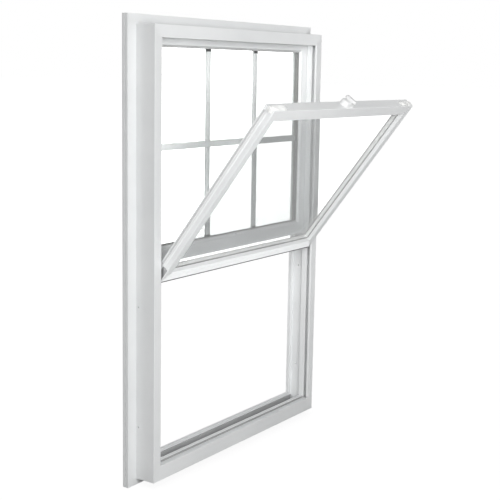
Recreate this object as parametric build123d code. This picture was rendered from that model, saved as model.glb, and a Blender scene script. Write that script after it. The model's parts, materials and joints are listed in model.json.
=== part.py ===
"""A white vinyl sash window that tilts in: a welded frame with an exterior casing,
a fixed upper sash with a grid between its panes, and a lower sash that slides up
on two balance shoes and tilts inward about its pivot bars.

Units are millimetres. +X is to the right seen from indoors, +Y points outdoors and
+Z is up. The origin lies on the casing's wall face, in the middle of its sill strip.
The lower sash is modelled upright and shut, and then raised and tilted to its place.
"""
import os

from build123d import *

# Frame: overall size and the widths of its four faces
FRAME_WIDTH = 900.0
FRAME_HEIGHT = 1320.0
CASING_THICKNESS = 22.5
JAMB_FACE = 32.0
HEAD_FACE = 37.0
SILL_LEDGE = 50.0
SILL_FRONT = 44.5
EDGE_RADIUS = 1.5

# Exterior casing: how far each strip reaches beyond the frame
CASING_SIDE = 36.5
CASING_HEAD = 27.0
CASING_SILL = 18.5
CASING_EDGE_RADIUS = 6.0
CASING_JOINT_CHAMFER = 3.0
CASING_LINE_START = 8.0
CASING_LINE_WIDTH = 3.0
CASING_LINE_DEPTH = 2.0

# Balance channel in each jamb: a slot whose narrow front lip and wide rear lip keep the shoe in
CHANNEL_FRONT_WALL = 4.0
CHANNEL_WIDTH = 30.0
CHANNEL_FLOOR = 14.0
CHANNEL_LIP = 2.5
CHANNEL_FRONT_LIP = 2.5
CHANNEL_REAR_LIP = 16.5

# Outer track, where the upper sash stands, and the stop outside it; depths are from the interior face
TRACK_START = 38.5
TRACK_WIDTH = 39.5
STOP_THICKNESS = 12.0
TRACK_FLOOR = 22.0
HEAD_TRACK_FLOOR = 24.0
STOP_COVER = 4.0
SILL_STOP = 52.0

# Sill: front strip, ledge under the lower sash, and a drained trough behind it
SILL_STEP_DEPTH = 22.0
SILL_LEDGE_DEPTH = 37.0
SILL_LINE_WIDTH = 2.5
SILL_LINE_DEPTH = 3.5
TROUGH_HIGH = 30.0
TROUGH_LOW = 22.0

# Screw holes through the jambs, in the open lower part of the outer track
SCREW_HOLE_RADIUS = 2.5
SCREW_LOW = 160.0
SCREW_SPACING = 360.0

# Insulating glass, the same in both sashes
PANE = 3.0
PANE_GAP = 12.0
GLASS_BITE = 12.0
GLAZING_FIT = 0.2
SPACER_WIDTH = 8.0
SPACER_SHOWING = 3.0

# Upper sash
UPPER_CLEARANCE = 1.0
UPPER_GLASS_DEPTH = 9.0
UPPER_STILE = 45.0
UPPER_TOP_RAIL = 34.5
MEETING_RAIL = 44.5
MEETING_DROP = 0.5
LEDGE_DROP = 6.5
LEDGE_DEPTH = 7.0
BEAD_SLOPE = 4.0
BEAD_WIDTH = 9.0
LINE_WIDTH = 1.2
LINE_DEPTH = 0.8

# Grid between the upper panes
GRID_BAR_WIDTH = 15.0
GRID_BAR_DEPTH = 6.0
GRID_COLUMNS = 3

# Lower sash
SASH_INTERIOR = 0.5
SASH_THICKNESS = 34.0
SASH_HEIGHT = 625.0
SASH_SIDE_CLEARANCE = 5.0
SASH_SILL_CLEARANCE = 5.5
SASH_STILE = 33.0
CHECK_RAIL = 38.0
BOTTOM_RAIL = 36.0
SASH_GLASS_DEPTH = 12.0
FACE_LINE = 10.0
SEAL_GROOVE_START = 24.0
SEAL_GROOVE_WIDTH = 5.0
SEAL_GROOVE_DEPTH = 2.5
SIDE_STEP_START = 8.0
SIDE_STEP_WIDTH = 9.0
SIDE_STEP_DEPTH = 1.5

# Tilt and lift: where the pivots are, and the pose the window is shown in
PIVOT_FROM_FACE = 11.5
PIVOT_FROM_BOTTOM = 8.0
PIVOT_RAISED = 607.0
TILT = 37.0

# Pivot bars and balance shoes
PIVOT_PIN_RADIUS = 4.0
PIVOT_RUNNING_FIT = 0.05
PIVOT_BAR_LENGTH = 50.0
PIVOT_BAR_WIDTH = 9.0
PIVOT_END_GAP = 1.0
PIVOT_PLATE_LENGTH = 42.0
PIVOT_PLATE_START = 2.0
PIVOT_PLATE_WIDTH = 18.0
PIVOT_PLATE = 2.0
SHOE_ABOVE_PIVOT = 56.0
SHOE_BELOW_PIVOT = 8.0
SHOE_CLEARANCE = 0.5
SHOE_BORE_WALL = 3.0

# Tilt latches in the two ends of the check rail
LATCH_FROM_FACE = 13.0
LATCH_LENGTH = 66.0
LATCH_WIDTH = 19.0
LATCH_HEIGHT = 12.0
LATCH_TRAVEL = 10.0
LATCH_FIT = 0.3
NOSE_LENGTH = 10.0
NOSE_CLEARANCE = 1.5
NOSE_HEIGHT = 8.0
NOSE_TIP = 3.0
BUTTON_LENGTH = 60.0
BUTTON_WIDTH = 18.0
BUTTON_RISE = 4.0
BUTTON_CHAMFER = 2.0
SCOOP_RADIUS = 40.0
SCOOP_DEPTH = 2.0

# Cam lock in the middle of the check rail, and its keeper
LOCK_LENGTH = 64.0
LOCK_DEPTH = 30.0
LOCK_HEIGHT = 16.0
LOCK_CHAMFER = 3.0
LOCK_AXIS_FROM_FACE = 27.0
LOCK_CAVITY_FLOOR = 2.0
LOCK_CAVITY_HEIGHT = 6.0
LOCK_FIT = 0.3
HUB_RADIUS = 5.0
TONGUE_LENGTH = 18.0
TONGUE_WIDTH = 8.0
TONGUE_LOW = 3.0
TONGUE_THICKNESS = 3.5
LEVER_REACH = 32.0
LEVER_WIDTH = 13.0
LEVER_THICKNESS = 6.0
LEVER_CHAMFER = 1.5
KEEPER_LENGTH = 24.0
KEEPER_WALL = 1.5
KEEPER_POST = 3.0
KEEPER_GAP = 7.5
KEEPER_FIT = 0.3

# Places worked out from the sizes above, in the window's own frame
FRAME_BOTTOM = CASING_SILL / 2
FRAME_TOP = FRAME_BOTTOM + FRAME_HEIGHT
FRAME_HALF = FRAME_WIDTH / 2
TRACK_END = TRACK_START + TRACK_WIDTH
FRAME_DEPTH = TRACK_END + STOP_THICKNESS
INTERIOR_FACE = CASING_THICKNESS - FRAME_DEPTH
GLASS_UNIT = 2 * PANE + PANE_GAP
CHANNEL_END = CHANNEL_FRONT_WALL + CHANNEL_WIDTH
MOUTH = (CHANNEL_FRONT_WALL + CHANNEL_FRONT_LIP, CHANNEL_END - CHANNEL_REAR_LIP)

SASH_HALF = FRAME_HALF - JAMB_FACE - SASH_SIDE_CLEARANCE
SASH_FACE_Y = INTERIOR_FACE + SASH_INTERIOR
SASH_BOTTOM = FRAME_BOTTOM + SILL_LEDGE + SASH_SILL_CLEARANCE
SASH_TOP = SASH_BOTTOM + SASH_HEIGHT
LATCH_Y = SASH_FACE_Y + LATCH_FROM_FACE

PIVOT_Y = SASH_FACE_Y + PIVOT_FROM_FACE
PIVOT_SHUT_Z = SASH_BOTTOM + PIVOT_FROM_BOTTOM
PIVOT_Z = FRAME_BOTTOM + PIVOT_RAISED
SHOWN_POSE = Pos(0, PIVOT_Y, PIVOT_Z) * Rot(TILT, 0, 0) * Pos(0, -PIVOT_Y, -PIVOT_SHUT_Z)

UPPER_FACE_Y = INTERIOR_FACE + TRACK_START + UPPER_CLEARANCE
UPPER_THICKNESS = TRACK_WIDTH - 2 * UPPER_CLEARANCE
UPPER_HALF = FRAME_HALF - TRACK_FLOOR
UPPER_BOTTOM = SASH_TOP - MEETING_DROP - MEETING_RAIL + LEDGE_DROP
UPPER_TOP = FRAME_TOP - HEAD_TRACK_FLOOR


def block(x, y, z):
    """A box between the two ends given along each axis."""
    size = [end - start for start, end in (x, y, z)]
    middle = [(start + end) / 2 for start, end in (x, y, z)]
    return Pos(*middle) * Box(*size)


def span(across, depth):
    """A rectangle of a section: across from the outer edge inward, depth from the face outward."""
    middle = Pos((across[0] + across[1]) / 2, (depth[0] + depth[1]) / 2)
    return middle * Rectangle(across[1] - across[0], depth[1] - depth[0])


def outline(*points):
    """A straight-edged piece of a section."""
    return make_face(Polyline(*points, close=True))


def eased(section, *corners):
    """The section with the corners nearest to the given points rounded."""
    rounded = [section.vertices().sort_by_distance((*corner, 0))[0] for corner in corners]
    return fillet(rounded, EDGE_RADIUS)


def ring(half, bottom, top, face_y, sections, widths):
    """Four bars round a rectangle, mitred from its outer corners to its inner ones.

    sections and widths are given for left, right, top and bottom. Each section runs
    inward from the outer edge, and its depth is measured outdoors from face_y.
    """
    left, right, head, foot = widths
    runs = {
        "left": ((-half, face_y, bottom), (1, 0, 0), (0, 0, 1), top - bottom),
        "right": ((half, face_y, top), (-1, 0, 0), (0, 0, -1), top - bottom),
        "top": ((-half, face_y, top), (0, 0, -1), (1, 0, 0), 2 * half),
        "bottom": ((half, face_y, bottom), (0, 0, 1), (-1, 0, 0), 2 * half),
    }
    reach = 1.5
    inner_left = -half + reach * left
    inner_right = half - reach * right
    inner_top = top - reach * head
    inner_bottom = bottom + reach * foot
    mitres = {
        "left": [(-half, bottom), (-half, top), (inner_left, inner_top), (inner_left, inner_bottom)],
        "right": [(half, bottom), (half, top), (inner_right, inner_top), (inner_right, inner_bottom)],
        "top": [(-half, top), (half, top), (inner_right, inner_top), (inner_left, inner_top)],
        "bottom": [(-half, bottom), (half, bottom), (inner_right, inner_bottom), (inner_left, inner_bottom)],
    }
    bars = {}
    for (side, run), section in zip(runs.items(), sections):
        origin, inward, along, length = run
        bar = extrude(Plane(origin, x_dir=inward, z_dir=along) * section, amount=length)
        wedge = extrude(Plane.XZ * outline(*mitres[side]), amount=FRAME_WIDTH, both=True)
        bars[side] = bar & wedge
    return bars


# Frame

def jamb_section():
    """A jamb: front face, lipped balance channel, outer track and stop."""
    section = span((0, JAMB_FACE), (0, FRAME_DEPTH))
    section += span((0, JAMB_FACE + STOP_COVER), (TRACK_END, FRAME_DEPTH))
    section -= span((CHANNEL_FLOOR, JAMB_FACE - CHANNEL_LIP), (CHANNEL_FRONT_WALL, CHANNEL_END))
    section -= span((CHANNEL_FLOOR, JAMB_FACE), MOUTH)
    section -= span((TRACK_FLOOR, JAMB_FACE), (TRACK_START, TRACK_END))
    stop = JAMB_FACE + STOP_COVER
    return eased(section, (0, 0), (JAMB_FACE, 0), (JAMB_FACE, TRACK_START), (stop, TRACK_END),
                 (stop, FRAME_DEPTH), (0, FRAME_DEPTH))


def head_section():
    """The head: a plain soffit with the outer track and stop."""
    section = span((0, HEAD_FACE), (0, FRAME_DEPTH))
    section += span((0, HEAD_FACE + STOP_COVER), (TRACK_END, FRAME_DEPTH))
    section -= span((HEAD_TRACK_FLOOR, HEAD_FACE), (TRACK_START, TRACK_END))
    stop = HEAD_FACE + STOP_COVER
    return eased(section, (0, 0), (HEAD_FACE, 0), (HEAD_FACE, TRACK_START), (stop, TRACK_END),
                 (stop, FRAME_DEPTH), (0, FRAME_DEPTH))


def sill_section():
    """The sill: a low front strip, a line, the ledge under the sash, a trough and the outer stop."""
    section = outline(
        (0, 0), (SILL_FRONT, 0), (SILL_FRONT, SILL_STEP_DEPTH), (SILL_LEDGE, SILL_STEP_DEPTH),
        (SILL_LEDGE, SILL_LEDGE_DEPTH), (TROUGH_HIGH, SILL_LEDGE_DEPTH), (TROUGH_LOW, TRACK_END),
        (SILL_STOP, TRACK_END), (SILL_STOP, FRAME_DEPTH), (0, FRAME_DEPTH))
    line = (SILL_STEP_DEPTH - SILL_LINE_WIDTH, SILL_STEP_DEPTH)
    section -= span((SILL_FRONT - SILL_LINE_DEPTH, SILL_FRONT), line)
    return eased(section, (0, 0), (SILL_FRONT, 0), (SILL_LEDGE, SILL_STEP_DEPTH), (SILL_LEDGE, SILL_LEDGE_DEPTH),
                 (SILL_STOP, TRACK_END), (SILL_STOP, FRAME_DEPTH), (0, FRAME_DEPTH))


def screw_holes(side):
    """The two screw holes through one jamb's outer track; side is -1 for left, 1 for right."""
    middle_y = INTERIOR_FACE + (TRACK_START + TRACK_END) / 2
    holes = []
    for height in (SCREW_LOW, SCREW_LOW + SCREW_SPACING):
        place = Pos(side * (FRAME_HALF - TRACK_FLOOR / 2), middle_y, FRAME_BOTTOM + height)
        holes.append(place * Rot(0, 90, 0) * Cylinder(SCREW_HOLE_RADIUS, 2 * TRACK_FLOOR))
    return holes


def frame_bars():
    bars = ring(FRAME_HALF, FRAME_BOTTOM, FRAME_TOP, INTERIOR_FACE,
                [jamb_section(), jamb_section(), head_section(), sill_section()],
                (JAMB_FACE, JAMB_FACE, HEAD_FACE, SILL_LEDGE))
    return {"left_jamb": bars["left"] - screw_holes(-1), "right_jamb": bars["right"] - screw_holes(1),
            "frame_head": bars["top"], "frame_sill": bars["bottom"]}


def casing_section(width):
    """A casing strip: a line along its edge, a rounded outdoor edge and a chamfer beside the frame."""
    section = span((0, width), (0, CASING_THICKNESS))
    line = (CASING_LINE_START, CASING_LINE_START + CASING_LINE_WIDTH)
    corner = section.vertices().sort_by_distance((0, CASING_THICKNESS, 0))[0]
    section = fillet(corner, CASING_EDGE_RADIUS)
    joint = section.vertices().sort_by_distance((width, CASING_THICKNESS, 0))[0]
    section = chamfer(joint, CASING_JOINT_CHAMFER)
    return section - span((0, CASING_LINE_DEPTH), line)


def casing_strips():
    widths = (CASING_SIDE, CASING_SIDE, CASING_HEAD, CASING_SILL)
    bars = ring(FRAME_HALF + CASING_SIDE, FRAME_BOTTOM - CASING_SILL, FRAME_TOP + CASING_HEAD, 0,
                [casing_section(width) for width in widths], widths)
    return {"left_casing": bars["left"], "right_casing": bars["right"],
            "head_casing": bars["top"], "sill_casing": bars["bottom"]}


# Glass

def glass_unit(prefix, half, bottom, top, sight, glass_y):
    """Two panes and the spacer between them, held in grooves round the sight lines.

    sight gives the bar widths for side, top and bottom; glass_y is the inner pane's indoor face.
    """
    bite = GLASS_BITE - GLAZING_FIT
    edge = half - sight[0] + bite
    low = bottom + sight[2] - bite
    high = top - sight[1] + bite
    inner_y = glass_y + GLAZING_FIT
    outer_y = glass_y + GLASS_UNIT - GLAZING_FIT
    pane_inner = block((-edge, edge), (inner_y, inner_y + PANE), (low, high))
    pane_outer = block((-edge, edge), (outer_y - PANE, outer_y), (low, high))
    gap = (inner_y + PANE, outer_y - PANE)
    rim = block((-edge, edge), gap, (low, high))
    inset = bite + SPACER_SHOWING
    hole = block((inset - edge, edge - inset), gap, (low + inset, high - inset))
    back = inset - SPACER_WIDTH
    rim = rim & block((back - edge, edge - back), gap, (low + back, high - back))
    return {prefix + "_inner_pane": pane_inner, prefix + "_outer_pane": pane_outer,
            prefix + "_spacer": rim - hole}


# Upper sash

def grooved(width, thickness, glass_depth):
    """A sash bar's section: a solid bar with the glazing groove in its inner edge."""
    section = span((0, width), (0, thickness))
    return section - span((width - GLASS_BITE, width), (glass_depth, glass_depth + GLASS_UNIT))


def beaded(width, thickness, glass_depth):
    """A grooved bar whose indoor inner edge slopes to the glass as a glazing bead."""
    slope = outline((width - BEAD_SLOPE, 0), (width, 0), (width, glass_depth - PANE / 2))
    joint = width - BEAD_WIDTH
    section = grooved(width, thickness, glass_depth) - slope
    section -= span((joint - LINE_WIDTH, joint), (0, LINE_DEPTH))
    return eased(section, (0, 0), (0, thickness), (width - BEAD_SLOPE, 0), (width, thickness))


def meeting_rail_section():
    """The meeting rail: a ledge for the keeper, then a bead that slopes up to the glass."""
    ledge = MEETING_RAIL - LEDGE_DROP
    step = outline((ledge, 0), (MEETING_RAIL, 0), (MEETING_RAIL, UPPER_GLASS_DEPTH - PANE / 2),
                   (ledge, LEDGE_DEPTH))
    section = grooved(MEETING_RAIL, UPPER_THICKNESS, UPPER_GLASS_DEPTH) - step
    return eased(section, (0, 0), (0, UPPER_THICKNESS), (MEETING_RAIL, UPPER_THICKNESS))


def upper_sash():
    stile = beaded(UPPER_STILE, UPPER_THICKNESS, UPPER_GLASS_DEPTH)
    top_rail = beaded(UPPER_TOP_RAIL, UPPER_THICKNESS, UPPER_GLASS_DEPTH)
    bars = ring(UPPER_HALF, UPPER_BOTTOM, UPPER_TOP, UPPER_FACE_Y,
                [stile, stile, top_rail, meeting_rail_section()],
                (UPPER_STILE, UPPER_STILE, UPPER_TOP_RAIL, MEETING_RAIL))
    parts = {"upper_left_stile": bars["left"], "upper_right_stile": bars["right"],
             "upper_top_rail": bars["top"], "meeting_rail": bars["bottom"]}
    glass_y = UPPER_FACE_Y + UPPER_GLASS_DEPTH
    parts |= glass_unit("upper", UPPER_HALF, UPPER_BOTTOM, UPPER_TOP,
                        (UPPER_STILE, UPPER_TOP_RAIL, MEETING_RAIL), glass_y)
    parts["upper_grid"] = grid_bars(glass_y + GLASS_UNIT / 2)
    return parts


def grid_bars(middle_y):
    """Two upright bars and one crossbar between the panes, from spacer to spacer."""
    half = UPPER_HALF - UPPER_STILE - SPACER_SHOWING
    low = UPPER_BOTTOM + MEETING_RAIL + SPACER_SHOWING
    high = UPPER_TOP - UPPER_TOP_RAIL - SPACER_SHOWING
    depth = (middle_y - GRID_BAR_DEPTH / 2, middle_y + GRID_BAR_DEPTH / 2)
    middle = (low + high) / 2
    bars = block((-half, half), depth, (middle - GRID_BAR_WIDTH / 2, middle + GRID_BAR_WIDTH / 2))
    for column in range(1, GRID_COLUMNS):
        x = -half + 2 * half * column / GRID_COLUMNS
        bars += block((x - GRID_BAR_WIDTH / 2, x + GRID_BAR_WIDTH / 2), depth, (low, high))
    return bars


def lock_keeper():
    """The keeper on the meeting rail: a clip, open to the left and indoors, for the lock's tongue."""
    low = UPPER_BOTTOM + MEETING_RAIL - LEDGE_DROP
    indoor = UPPER_FACE_Y + KEEPER_FIT
    depth = (indoor, indoor + LEDGE_DEPTH - 2 * KEEPER_FIT)
    end = KEEPER_LENGTH / 2
    top = low + KEEPER_WALL + KEEPER_GAP
    foot = block((-end, end), depth, (low, low + KEEPER_WALL))
    post = block((end - KEEPER_POST, end), depth, (low, top))
    roof = block((-end, end), depth, (top, top + KEEPER_WALL))
    return foot + post + roof


# Lower sash, upright and shut

def sash_bar(width):
    """A lower sash bar: a beaded bar with a line along its face, and a step and a seal groove outside."""
    section = beaded(width, SASH_THICKNESS, SASH_GLASS_DEPTH)
    section -= span((FACE_LINE, FACE_LINE + LINE_WIDTH), (0, LINE_DEPTH))
    section -= span((0, SIDE_STEP_DEPTH), (SIDE_STEP_START, SIDE_STEP_START + SIDE_STEP_WIDTH))
    seal = (SEAL_GROOVE_START, SEAL_GROOVE_START + SEAL_GROOVE_WIDTH)
    return section - span((0, SEAL_GROOVE_DEPTH), seal)


def pivot_pocket(side, fit):
    """The room for a pivot bar in the foot of the sash; side is -1 for left, 1 for right."""
    half = PIVOT_BAR_WIDTH / 2 + fit
    ends = sorted((side * (SASH_HALF - PIVOT_BAR_LENGTH - fit), side * SASH_HALF))
    bar = block(ends, (PIVOT_Y - half, PIVOT_Y + half), (PIVOT_SHUT_Z - half, PIVOT_SHUT_Z + half))
    half_plate = PIVOT_PLATE_WIDTH / 2 + fit
    plate_ends = sorted((side * (SASH_HALF - PIVOT_PLATE - fit), side * SASH_HALF))
    plate_low = SASH_BOTTOM + PIVOT_PLATE_START
    heights = (plate_low - fit, plate_low + PIVOT_PLATE_LENGTH + fit)
    return bar + block(plate_ends, (PIVOT_Y - half_plate, PIVOT_Y + half_plate), heights)


def pivot_bar(side):
    """A pivot bar: a square bar and a plate in the sash, with a round pin that turns in the balance shoe."""
    bar = pivot_pocket(side, 0)
    reach = SASH_SIDE_CLEARANCE + JAMB_FACE - CHANNEL_FLOOR - SHOE_BORE_WALL - PIVOT_END_GAP
    place = Pos(side * (SASH_HALF + reach / 2), PIVOT_Y, PIVOT_SHUT_Z)
    return bar + place * Rot(0, 90, 0) * Cylinder(PIVOT_PIN_RADIUS, reach)


def latch_pocket(side):
    """The slot for a tilt latch, open at the sash's edge and at the top of the check rail."""
    length = LATCH_LENGTH + LATCH_TRAVEL + 2 * LATCH_FIT
    half = LATCH_WIDTH / 2 + LATCH_FIT
    ends = sorted((side * (SASH_HALF - length), side * SASH_HALF))
    depth = (LATCH_Y - half, LATCH_Y + half)
    return block(ends, depth, (SASH_TOP - LATCH_HEIGHT - LATCH_FIT, SASH_TOP))


def tilt_latch(side):
    """A tilt latch: a slider with an oval thumb button and a nose bevelled on its outdoor side."""
    outer = SASH_HALF - LATCH_FIT
    ends = sorted((side * (outer - LATCH_LENGTH), side * outer))
    depth = (LATCH_Y - LATCH_WIDTH / 2, LATCH_Y + LATCH_WIDTH / 2)
    slider = block(ends, depth, (SASH_TOP - LATCH_HEIGHT, SASH_TOP))
    root = side * outer
    tip = side * (outer + NOSE_LENGTH)
    indoor = INTERIOR_FACE + MOUTH[0] + NOSE_CLEARANCE
    outdoor = INTERIOR_FACE + MOUTH[1] - NOSE_CLEARANCE
    nose = outline((root, indoor), (tip, indoor), (tip, indoor + NOSE_TIP), (root, outdoor))
    nose_low = SASH_TOP - LATCH_HEIGHT / 2 - NOSE_HEIGHT / 2
    slider += extrude(Plane.XY.offset(nose_low) * nose, amount=NOSE_HEIGHT, dir=(0, 0, 1))
    place = Pos(side * (outer - LATCH_LENGTH / 2), LATCH_Y, SASH_TOP)
    button = extrude(SlotOverall(BUTTON_LENGTH, BUTTON_WIDTH), amount=BUTTON_RISE)
    button = chamfer(button.faces().sort_by(Axis.Z)[-1].edges(), BUTTON_CHAMFER)
    scoop = Pos(0, 0, BUTTON_RISE - SCOOP_DEPTH + SCOOP_RADIUS) * Rot(90, 0, 0)
    scoop *= Cylinder(SCOOP_RADIUS, 2 * BUTTON_WIDTH)
    return slider + place * (button - scoop)


def lock_base():
    """The cam lock's housing: an oval cover, hollow underneath and open outdoors for the tongue."""
    middle_y = SASH_FACE_Y + SASH_THICKNESS - LOCK_FIT - LOCK_DEPTH / 2
    cover = extrude(SlotOverall(LOCK_LENGTH, LOCK_DEPTH), amount=LOCK_HEIGHT)
    cover = chamfer(cover.faces().sort_by(Axis.Z)[-1].edges(), LOCK_CHAMFER)
    cover = Pos(0, middle_y, SASH_TOP) * cover
    axis = Pos(0, SASH_FACE_Y + LOCK_AXIS_FROM_FACE, SASH_TOP)
    up = (Align.CENTER, Align.CENTER, Align.MIN)
    cavity_radius = TONGUE_LENGTH + 2 * LOCK_FIT
    cavity = Pos(0, 0, LOCK_CAVITY_FLOOR) * Cylinder(cavity_radius, LOCK_CAVITY_HEIGHT, align=up)
    hub_hole = Cylinder(HUB_RADIUS + PIVOT_RUNNING_FIT, LOCK_HEIGHT, align=up)
    return cover - axis * cavity - axis * Pos(0, 0, LOCK_CAVITY_FLOOR) * hub_hole


def lock_lever():
    """The lock's lever, hub and tongue in one: lever to the room, tongue along the rail."""
    up = (Align.CENTER, Align.CENTER, Align.MIN)
    lever_low = LOCK_HEIGHT + LOCK_FIT
    hub = Pos(0, 0, TONGUE_LOW) * Cylinder(HUB_RADIUS, lever_low - TONGUE_LOW, align=up)
    tongue_shape = Pos(-TONGUE_LENGTH / 2 + TONGUE_WIDTH / 4, 0) * SlotOverall(
        TONGUE_LENGTH + TONGUE_WIDTH / 2, TONGUE_WIDTH)
    disc = Circle(TONGUE_LENGTH)
    tongue = Pos(0, 0, TONGUE_LOW) * extrude(tongue_shape & disc, amount=TONGUE_THICKNESS)
    arm_length = LEVER_REACH + LEVER_WIDTH / 2
    arm_shape = Pos(0, (LEVER_WIDTH / 2 - LEVER_REACH) / 2) * Rot(0, 0, 90) * SlotOverall(arm_length, LEVER_WIDTH)
    arm = extrude(arm_shape, amount=LEVER_THICKNESS)
    arm = chamfer(arm.faces().sort_by(Axis.Z)[-1].edges(), LEVER_CHAMFER)
    lever = hub + tongue + Pos(0, 0, lever_low) * arm
    return Pos(0, SASH_FACE_Y + LOCK_AXIS_FROM_FACE, SASH_TOP) * lever


def lower_sash():
    stile = sash_bar(SASH_STILE)
    bars = ring(SASH_HALF, SASH_BOTTOM, SASH_TOP, SASH_FACE_Y,
                [stile, stile, beaded(CHECK_RAIL, SASH_THICKNESS, SASH_GLASS_DEPTH), sash_bar(BOTTOM_RAIL)],
                (SASH_STILE, SASH_STILE, CHECK_RAIL, BOTTOM_RAIL))
    pockets = [pivot_pocket(-1, GLAZING_FIT), pivot_pocket(1, GLAZING_FIT)]
    slots = [latch_pocket(-1), latch_pocket(1)]
    parts = {"lower_left_stile": bars["left"] - pockets - slots,
             "lower_right_stile": bars["right"] - pockets - slots,
             "check_rail": bars["top"] - slots,
             "bottom_rail": bars["bottom"] - pockets}
    parts |= glass_unit("lower", SASH_HALF, SASH_BOTTOM, SASH_TOP,
                        (SASH_STILE, CHECK_RAIL, BOTTOM_RAIL), SASH_FACE_Y + SASH_GLASS_DEPTH)
    parts["left_pivot_bar"] = pivot_bar(-1)
    parts["right_pivot_bar"] = pivot_bar(1)
    parts["sash_lock_base"] = lock_base()
    parts["sash_lock_lever"] = lock_lever()
    parts["left_tilt_latch"] = tilt_latch(-1)
    parts["right_tilt_latch"] = tilt_latch(1)
    return parts


# Balance shoes, at the height the sash is shown at

def balance_shoe(side):
    """A shoe that slides in the jamb's channel and holds the pivot bar's pin."""
    floor = FRAME_HALF - CHANNEL_FLOOR - SHOE_CLEARANCE
    mouth = FRAME_HALF - JAMB_FACE + CHANNEL_LIP + SHOE_CLEARANCE
    depth = (INTERIOR_FACE + CHANNEL_FRONT_WALL + SHOE_CLEARANCE,
             INTERIOR_FACE + CHANNEL_END - SHOE_CLEARANCE)
    shoe = block(sorted((side * mouth, side * floor)), depth,
                 (PIVOT_Z - SHOE_BELOW_PIVOT, PIVOT_Z + SHOE_ABOVE_PIVOT))
    bore_end = FRAME_HALF - CHANNEL_FLOOR - SHOE_BORE_WALL
    length = bore_end - mouth
    place = Pos(side * (mouth + length / 2), PIVOT_Y, PIVOT_Z)
    return shoe - place * Rot(0, 90, 0) * Cylinder(PIVOT_PIN_RADIUS + PIVOT_RUNNING_FIT, length)


def window():
    parts = frame_bars() | casing_strips() | upper_sash()
    parts["lock_keeper"] = lock_keeper()
    for name, piece in lower_sash().items():
        parts[name] = SHOWN_POSE * piece
    parts["left_balance_shoe"] = balance_shoe(-1)
    parts["right_balance_shoe"] = balance_shoe(1)
    return parts


os.makedirs("parts", exist_ok=True)
for name, piece in window().items():
    export_step(piece, f"parts/{name}.step")
print("pivot at rest", PIVOT_Y, PIVOT_Z, "shut", PIVOT_SHUT_Z)
lock_axis = SHOWN_POSE * Pos(0, SASH_FACE_Y + LOCK_AXIS_FROM_FACE, SASH_TOP)
print("lock axis at rest", lock_axis.position, "frame bottom and top", FRAME_BOTTOM, FRAME_TOP)
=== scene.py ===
# %% [markdown]
# # A tilt-in sash window
# The window is white vinyl: a welded frame with a casing outside it, a fixed upper sash with a
# grid between its panes, and a lower sash that is raised and tilted into the room. The frame,
# the sashes and the moving hardware come from the CAD model as they are. This lesson gives them
# their finishes, and adds the small pieces that the CAD model leaves out. Sizes are in metres.

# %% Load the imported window
import json
import math

import bmesh
import bpy
from mathutils import Matrix, Vector


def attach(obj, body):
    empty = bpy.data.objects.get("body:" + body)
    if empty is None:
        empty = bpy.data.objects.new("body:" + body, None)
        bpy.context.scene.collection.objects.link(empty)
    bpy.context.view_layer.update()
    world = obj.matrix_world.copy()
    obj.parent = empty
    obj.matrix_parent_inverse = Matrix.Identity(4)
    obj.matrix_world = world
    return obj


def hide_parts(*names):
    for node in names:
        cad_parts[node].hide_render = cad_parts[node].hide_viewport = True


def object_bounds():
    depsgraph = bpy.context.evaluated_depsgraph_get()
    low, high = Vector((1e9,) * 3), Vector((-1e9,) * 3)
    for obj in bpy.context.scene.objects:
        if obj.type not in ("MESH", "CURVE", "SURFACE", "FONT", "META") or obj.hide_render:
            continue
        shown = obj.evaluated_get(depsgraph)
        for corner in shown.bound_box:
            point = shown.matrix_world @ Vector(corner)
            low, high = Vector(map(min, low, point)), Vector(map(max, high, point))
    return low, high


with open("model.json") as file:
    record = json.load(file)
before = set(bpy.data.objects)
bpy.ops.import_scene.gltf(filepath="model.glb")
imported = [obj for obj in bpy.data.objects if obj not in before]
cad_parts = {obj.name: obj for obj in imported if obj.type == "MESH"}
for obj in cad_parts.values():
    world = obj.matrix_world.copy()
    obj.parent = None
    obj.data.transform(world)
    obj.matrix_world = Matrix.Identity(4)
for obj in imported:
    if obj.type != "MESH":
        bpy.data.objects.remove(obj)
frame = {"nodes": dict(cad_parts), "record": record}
cad_low, cad_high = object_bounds()
bpy.ops.object.select_all(action="DESELECT")
print("nodes:", len(frame["nodes"]))

# %% [markdown]
# ## Camera
# The camera stands indoors, to the left of the window and a little above its middle, and looks
# slightly down. A long lens keeps the uprights almost parallel. A constraint could keep it turned
# to the window, but it couldn't give the slight roll. So the angles are written as a photographer
# would give them, and one matrix turns them into Blender's rotation.

# %% Camera
EYE = Vector((-2.7958, -1.9668, 1.2084))
HEADING = math.radians(56.124)
PITCH = math.radians(-9.467)
ROLL = math.radians(1.002)
LENS = 77.83
FARTHEST = 200

facing = Matrix.Rotation(-HEADING, 3, "Z") @ Matrix.Rotation(math.pi / 2 + PITCH, 3, "X")
facing = facing @ Matrix.Rotation(ROLL, 3, "Z")
bpy.ops.object.camera_add(location=EYE, rotation=facing.to_euler())
camera = bpy.context.object
camera.data.lens = LENS
camera.data.clip_end = FARTHEST
bpy.context.scene.camera = camera
print("camera at", tuple(round(value, 3) for value in camera.location))

# %% [markdown]
# ## Studio floor and background
# The window stands on a pale floor that runs out to a white background. What the camera sees
# directly, or through the glass, is white, and the Standard view keeps white as white. A floor of
# plain white paint would need so much light that the vinyl would lose its shading, so most of its
# white is a glow that only the camera sees. A world shader is like a big tent round the scene: here
# it glows from outdoors, as daylight would.

# %% Studio floor
FLOOR_SIZE = 160
FLOOR_GAP = 0.0005
FLOOR_PALE = 0.9
FLOOR_DIM = 0.3
FLOOR_GLOW = 0.93
THROUGH_GLASS = 3.2
HALF_A_BOUNCE = 0.5


def new_material(name):
    """A material, with its nodes and links."""
    material = bpy.data.materials.new(name)
    material.use_nodes = True
    return material, material.node_tree.nodes, material.node_tree.links


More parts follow.
